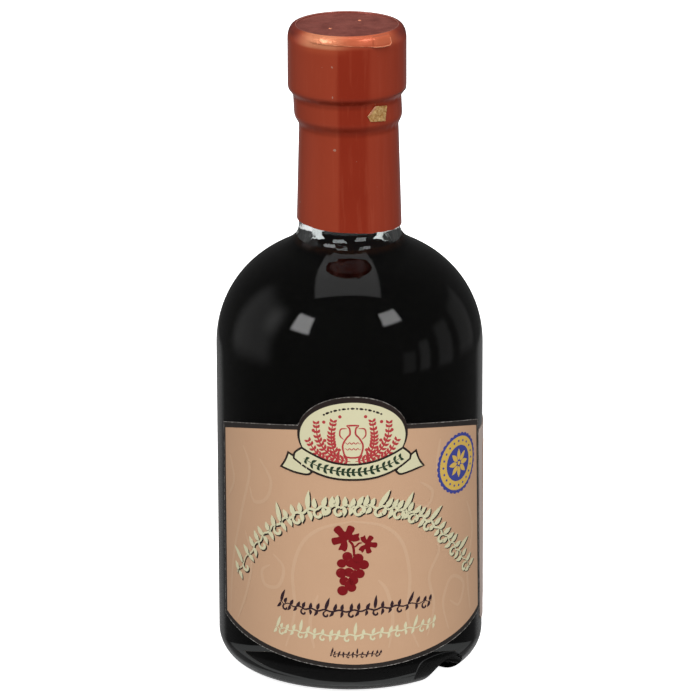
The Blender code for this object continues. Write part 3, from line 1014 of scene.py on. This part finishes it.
def garland(line, count, height, width, seed, tall=()):
    """Brush strokes of a leafy vine along a line: leaves above, a few tall, and leaves and curls below."""
    draw = random.Random(seed)
    steps = count * 4
    stem = [tuple(laid(line, step / steps, 0.07 * height * math.sin(step * 0.9))[0])
            for step in range(steps + 1)]
    strokes = [brushed(stem, width * 0.62)]
    for step in range(count):
        root, along = laid(line, (step + 0.5) / count)
        across = Vector((-along.y, along.x))
        reach = height * (1.05 if step in tall else draw.uniform(0.46, 0.62))
        way = (across + along * draw.uniform(0.1, 0.55)).normalized()
        strokes.append(leaf(root, root + way * reach, width * 1.25, draw.uniform(-0.05, 0.05) * height))
        if step % 3 == 1:
            centre = root - across * height * 0.3 + along * height * 0.08
            turn = math.degrees(math.atan2(across.y, across.x))
            strokes.append(brushed(curl(centre, height * 0.27, turn), width * 0.72))
        else:
            way = (-across + along * draw.uniform(-0.75, 0.1)).normalized()
            reach = height * draw.uniform(0.44, 0.56)
            strokes.append(leaf(root, root + way * reach, width * 1.1, 0.05 * height))
    return strokes


def leaf_pair(line, share, way, size, width, bend):
    """Two leaves that grow from a line at a share of its length; way is how far ahead and aside they aim."""
    root, along = laid(line, share)
    ahead, aside = way
    pair = []
    for turn in (-1.0, 1.0):
        across = Vector((-along.y, along.x)) * turn
        tip = root + (across * aside + along * ahead).normalized() * size
        pair.append(leaf(root, tip, width, bend * turn))
    return pair


def ribbon_parts():
    """Outlines of the banner under the oval: its two tails and its band."""
    left, right = (rounded(first, 4) + rounded(second, 4)[1:] + [corner]
                   for first, second, corner in RIBBON_TAILS)
    band = rounded(RIBBON_LOWER, 6) + rounded([RIBBON_LOWER[-1], (15.3, 63.0), RIBBON_UPPER[0]], 4)[1:]
    band += rounded(RIBBON_UPPER, 6)[1:]
    band += rounded([RIBBON_UPPER[-1], (-13.9, 63.6), RIBBON_LOWER[0]], 4)[1:-1]
    return left, right, band


def oval_motif():
    """A small jug between two leafy branches, for inside the oval."""
    shapes = []
    for height in (65.1, 66.6):
        wave = [(-2.0 + 0.25 * step, height + 0.22 * math.sin(step * 1.6)) for step in range(17)]
        shapes.append(brushed(wave, 0.24))
    for side in (-1.0, 1.0):
        handle = [(side * along, height) for along, height in JUG_HANDLE]
        shapes.append(brushed(rounded(handle, 5), 0.34))
        for points, count, size in BRANCHES:
            line = rounded([(side * along, height) for along, height in points], 8)
            shapes.append(brushed(line, 0.36))
            for step in range(count):
                reach = size * (1.0 - 0.035 * step)
                shapes += leaf_pair(line, (step + 1.0) / (count + 0.3), (0.95, 1.0), reach, 0.66, 0.12)
        for along, height in BERRIES:
            shapes.append(oval((along * side, height), (0.42, 0.42), 14))
    jug, *rest = moved([rounded(JUG, 3, closed=True)] + shapes, (MOTIF_MIDDLE, 0.0))
    return [[jug, inset(jug, 0.42)]] + rest


def vine_leaf(centre, size, turn):
    """Outline of a vine leaf with five broad lobes; turn is the bearing of its stalk."""
    points = []
    for bearing, reach in VINE_LEAF:
        bearing = math.radians(bearing + turn)
        reach *= size
        points.append((centre[0] + reach * math.cos(bearing), centre[1] + reach * math.sin(bearing)))
    return rounded(points, 3, closed=True)


def grape_bunch():
    """Outlines of a plain bunch of grapes with its stalk and two leaves, and of the lights on the grapes."""
    grapes, lights = [], []
    for index, centre in enumerate(GRAPES):
        size = 1.24 + 0.08 * math.sin(index * 2.3)
        grapes.append(oval(centre, (size, size * 0.97), 22))
        if index % 3 == 0:
            lights.append(brushed(arc(centre, (size * 0.66, size * 0.64), 100.0, 150.0, 6), 0.16))
    stalk = rounded([(0.9, 37.6), (0.85, 39.1), (0.5, 40.6), (-0.4, 41.6)], 5)
    grapes.append(brushed(stalk, 0.6, (0.8, 0.7)))
    grapes.append(vine_leaf((-1.0, 42.0), 3.6, -50.0))
    grapes.append(vine_leaf((3.9, 40.5), 2.5, 172.0))
    grapes.append(brushed(rounded([(0.7, 39.8), (1.4, 40.1), (2.1, 40.8), (2.9, 40.9)], 5), 0.42))
    return grapes, lights


def build_front_label():
    """The front label: dark-edged paper with its print in separate inks."""
    whole = crowned_outline()
    pasted("front_label_paper", whole, "dark border print", "front_label")
    make_cut_edge()
    dashes = []
    count, start, sweep, middle_z, (reach, rise) = DASHES
    for step in range(count):
        angle = math.radians(start - sweep * step / (count - 1))
        centre = Vector((MOTIF_MIDDLE + reach * math.cos(angle), middle_z + rise * math.sin(angle)))
        half, width = (0.55, 0.55) if step % 2 else (0.3, 0.5)
        along = Vector((reach * math.sin(angle), -rise * math.cos(angle))).normalized() * half
        dashes.append(leaf(centre - along, centre + along, width))
    left, right, band = ribbon_parts()
    arch = garland(rounded(ARCH, 8), 42, 5.0, 1.04, 3, ARCH_TALL)
    ghosts = [brushed(rounded(line, 6), 0.9, (0.4, 0.4)) for line in GHOST_LINES]
    grapes, lights = grape_bunch()
    for name, outlines, level, ink in (
            # the cut edge's pale specks are painted glints
            ("front_label_cut_edge", [[whole, inset(whole, 0.14)]], 0, "paper cut edge"),
            ("front_label_tan_field", [front_outline(BORDER)], 0, "tan print"),
            ("front_label_ghost_lines", ghosts, 1, "light tan print"),
            ("oval_outline_print", [oval(OVAL_CENTRE, (13.75, 9.6), 96)], 2, "dark brown print"),
            ("oval_cream_print", [oval((MOTIF_MIDDLE, 68.0), (13.1, 9.0), 96)], 3, "cream print"),
            ("oval_motif_print", oval_motif(), 4, "red print"),
            ("oval_border_dashes", dashes, 4, "dark brown print"),
            ("ribbon_tails_outline", [left, right], 5, "dark brown print"),
            ("ribbon_tails_cream", [inset(left, 0.5), inset(right, 0.5)], 6, "cream print"),
            ("ribbon_outline", [band], 7, "dark brown print"),
            ("ribbon_cream", [inset(band, 0.52)], 8, "cream print"),
            ("ribbon_leaf_row", ribbon_leaves(rounded(RIBBON_MIDDLE, 8)), 9, "dark green print"),
            ("garland_shadow_print", moved(arch, (0.34, -0.3)), 2, "dark brown print"),
            ("garland_cream_print", arch, 3, "cream print"),
            ("grape_bunch_print", grapes, 2, "dark red print"),
            ("grape_lights_print", lights, 3, "pale red print")):
        printed(name, outlines, level, ink)
    for name, line, steps, leaves, ink in ROWS:
        printed(name, garland(rounded(line, steps), *leaves), 2, ink)
    build_rosette()


def ribbon_leaves(line):
    """A row of small leaves along the ribbon, in pairs on a thin stem."""
    shapes = [brushed([laid(line, 0.02 + 0.96 * step / 40)[0] for step in range(41)], 0.3)]
    for step in range(17):
        shapes += leaf_pair(line, (step + 0.7) / 17.6, (0.7, 0.9), 1.55 if step % 2 else 1.2, 0.72, 0.14)
    return shapes


def build_rosette():
    """A plain round ornament in blue and yellow: a scalloped rim, a ring of dots and a flower."""
    def around(count):
        """Directions evenly round the centre."""
        return [Vector((math.cos(math.tau * step / count), math.sin(math.tau * step / count)))
                for step in range(count)]

    centre = Vector(ROSETTE_CENTRE)
    reach, scallop = ROSETTE_RIM
    rim = [centre + way * (reach + scallop * abs(math.cos(math.pi * step / 6)))
           for step, way in enumerate(around(ROSETTE_SCALLOPS * 6))]
    count, reach, size = ROSETTE_DOTS
    dots = [oval(centre + way * reach, (size, size), 12) for way in around(count)]
    count, near, far, width = ROSETTE_PETALS
    petals = [leaf(centre + way * near, centre + way * far, width) for way in around(count)]
    printed("rosette_rim_print", [rim], 2, "blue print")
    printed("rosette_ring_print", [oval(centre, (ROSETTE_RING_R, ROSETTE_RING_R), 60)], 3, "yellow print")
    printed("rosette_centre_print", [oval(centre, (ROSETTE_FIELD_R, ROSETTE_FIELD_R), 48)], 4, "blue print")
    printed("rosette_dots_print", dots, 4, "blue print")
    petals.append(oval(centre, (ROSETTE_EYE_R, ROSETTE_EYE_R), 14))
    printed("rosette_flower_print", petals, 5, "yellow print")


def back_rows(heights, ends, steps, count, seed):
    """Rows of small tendrils on the back label, through the same distances at each height."""
    rows = []
    for index, height in enumerate(heights):
        rows += garland(rounded([(end, height) for end in ends], steps), count, 1.8, 0.36, seed + index)
    return rows


def build_back_label():
    """The back label: a pale border, a tan field with a frame, a sprig, rows of tendrils and a bare panel."""
    pasted("back_label_paper", back_outline(), "back paper", "back_label")
    middle = BACK_START + BACK_WIDTH / 2.0
    left, right = middle - 37.0, middle + 37.0
    low, high = BACK_PANEL_Z
    sprig = [[(along * 0.72 + middle, 47.0 + (height - 36.0) * 0.72) for along, height in outline]
             for outline in grape_bunch()[0]]
    twigs = [garland(rounded([(middle + side * 6.0, 47.5), (middle + side * 18.0, 50.0),
                              (middle + side * 34.0, 47.6)], 14), 17, 3.6, 0.8, 12) for side in (-1.0, 1.0)]
    rows = back_rows(BACK_ROWS, (left, middle, right), 30, 48, 20)
    low_heights = [low + 2.0 + 3.6 * index for index in range(3)]
    low_rows = back_rows(low_heights, (left, middle - 14.0, middle + 8.0), 24, 29, 30)
    bare = [(middle + 12.0, low), (right, low), (right, high), (middle + 12.0, high)]
    frames = [back_outline(BACK_BORDER + 0.9), back_outline(BACK_BORDER + 1.3)]
    for name, outlines, level, ink in (
            ("back_label_tan_field", [back_outline(BACK_BORDER)], 0, "tan print"),
            ("back_label_frame", [frames], 1, "dark brown print"),
            ("back_label_sprig", sprig, 1, "dark red print"),
            ("back_label_twig_left", twigs[0], 1, "cream print"),
            ("back_label_twig_right", twigs[1], 1, "cream print"),
            ("back_label_rows", rows, 1, "dark plum print"),
            ("back_label_panel", [bare], 1, "cream print"),
            ("back_label_low_rows", low_rows, 1, "dark plum print")):
        printed(name, outlines, level, ink)


def build_hidden_cap():
    """The cap's finish under the film."""
    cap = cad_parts["screw_cap"]
    cap.data.materials.clear()
    cap.data.materials.append(make_plastic())


def build_tab():
    """The crinkled gold end of the tear strip, with one edge turned over."""
    for name, corners, radius, finish, node in (
            ("gold_strip_end", TAB_CORNERS, TAB_R, "gold strip", "tear_tab"),
            ("gold_strip_turned_edge", TAB_FOLD, TAB_R + 0.12, "gold strip back", None)):
        shape = bmesh.new()
        flat_face(shape, [(math.radians(angle) * PRINT_R, height) for angle, height in corners])
        wrapped(shape, radius, 0.1, 0.5, 0.22)
        for corner in shape.verts:
            crease = noise.noise(Vector((corner.co.x * 1.4, corner.co.z * 0.5, 1.0)) * 1.6)
            fine = noise.noise(corner.co * 3.1)
            outward = Vector((corner.co.x, corner.co.y, 0.0)).normalized()
            corner.co += outward * (0.1 * crease + 0.04 * fine)
        settled(name, shape, crinkled(finish), node, sharp=30.0)


# floor, camera and light

def laid_under(name, shape, material, depth, hidden):
    """A flat piece just under the bottle, hidden from some kinds of light."""
    mesh = as_mesh(name, shape)
    mesh.materials.append(material)
    item = shown(name, mesh)
    item.location.z = -depth
    for kind in hidden:
        setattr(item, "visible_" + kind, False)
    return item


def build_floor():
    """A plain pale floor."""
    shape = bmesh.new()
    bmesh.ops.create_grid(shape, x_segments=2, y_segments=2, size=6.0)
    pale = Finish("pale floor").surface(Base_Color=rgb(246, 246, 246), Roughness=0.9, Specular_IOR_Level=0.0,
                                        Emission_Color=rgb(255, 255, 255), Emission_Strength=0.86)
    floor = laid_under("floor", shape, pale, 0.0002, ("glossy", "transmission", "diffuse"))


def build_painted_shade_card():
    """A dark disc under the bottle, seen only through the glass: painted shade that stands in for the shadow
    under the bottle.
    """
    shape = bmesh.new()
    bmesh.ops.create_circle(shape, cap_ends=True, radius=0.14, segments=64)
    # painted shade under the bottle, seen through the glass
    dark = Finish("painted shade card").surface(Base_Color=rgb(26, 20, 18), Roughness=0.9, Specular_IOR_Level=0.0)
    card = laid_under("painted_shade_card", shape, dark, 0.0001, ("camera", "diffuse", "glossy", "shadow"))


def build_camera():
    """A camera at the photograph's angle."""
    data = bpy.data.cameras.new("camera")
    data.lens = CAMERA_LENS
    data.sensor_width = 36.0
    data.clip_end = 100.0
    camera = shown("camera", data)
    look = Matrix.Rotation(math.radians(90.0 - CAMERA_PITCH), 4, "X")
    roll = Matrix.Rotation(math.radians(-CAMERA_ROLL), 4, "Z")
    camera.matrix_world = Matrix.Translation(Vector(CAMERA_PLACE) * MM) @ look @ roll
    bpy.context.scene.camera = camera


def panel(azimuth, height, centre, half_size, soft):
    """A soft-edged panel in the surroundings, by its azimuth and height in degrees."""
    side = (azimuth - centre[0]).size().faded(half_size[0] + soft, half_size[0] - soft)
    top = (height - centre[1]).size().faded(half_size[1] + soft, half_size[1] - soft)
    return side * top


def build_world():
    """White surroundings, with a dim room and its soft panels in the reflections."""
    world = bpy.data.worlds.new("studio")
    bpy.context.scene.world = world
    world.cycles.sampling_method = "NONE"
    finish = Finish("studio", world)
    way = finish.node("TexCoord", output="Generated")
    east = finish.axis(way, "X")
    south = 0.0 - finish.axis(way, "Y")
    up = finish.axis(way, "Z")
    azimuth = east.sum("ARCTAN2", east, south) * (180.0 / math.pi)
    height = up.sum("ARCSINE", up) * (180.0 / math.pi)
    light = height * 0.0 + ROOM
    for centre, half_size, soft, strength in PANELS:
        light = light + panel(azimuth, height, centre, half_size, soft) * strength
    over = up.most(0.05)
    half = south / over * 0.25 + 0.37
    ceiling = ((east / over + 0.03).size() / half).faded(1.06, 0.94)
    ceiling = ceiling * (south / over + 0.1).size().faded(0.38, 0.33)
    light = light + ceiling * height.faded(20.0, 30.0) * CEILING
    away = azimuth.size().faded(138.0, 152.0)
    light = light + height.faded(-13.0, -16.0) * away * LOW_BEHIND + height.faded(-20.0, -30.0) * LOW_ROUND
    seen = finish.node("LightPath", output="Is Camera Ray")
    through = finish.node("LightPath", output="Is Transmission Ray") * height.faded(-50.0, -34.0, 0.02)
    through = through * height.faded(0.0, -7.0, 0.045)
    matte = finish.node("LightPath", output="Is Diffuse Ray")
    clear = (seen + through).clamped()
    round_light = height.faded(-50.0, 10.0, ROUND_LIGHT * 0.45, ROUND_LIGHT)
    reflected = (1.0 - seen) * (1.0 - finish.node("LightPath", output="Is Transmission Ray"))
    level = clear + reflected * (matte * round_light + (1.0 - matte) * light)
    background = finish.node("Background", None, {"Color": rgb(255, 255, 255), "Strength": level})
    finish.node("OutputWorld", None, {"Surface": background})


def build_lights():
    """Soft studio light from above and from the front."""
    for name, place, size, power in LIGHTS:
        data = bpy.data.lights.new(name, "AREA")
        data.shape = "RECTANGLE"
        data.size = size
        data.size_y = size
        data.energy = power
        light = shown(name, data)
        light.location = Vector(place)
        light.rotation_euler = (Vector(LIGHT_AIM) - Vector(place)).to_track_quat("-Z", "Y").to_euler()
        light.visible_glossy = False


build_camera()
build_floor()
build_painted_shade_card()
build_world()
build_lights()
build_glass()
build_vinegar()
build_capsule()
build_film_lap()
build_disc()
build_hidden_cap()
build_tab()
build_front_label()
build_back_label()
bpy.context.scene.view_settings.view_transform = "Standard"
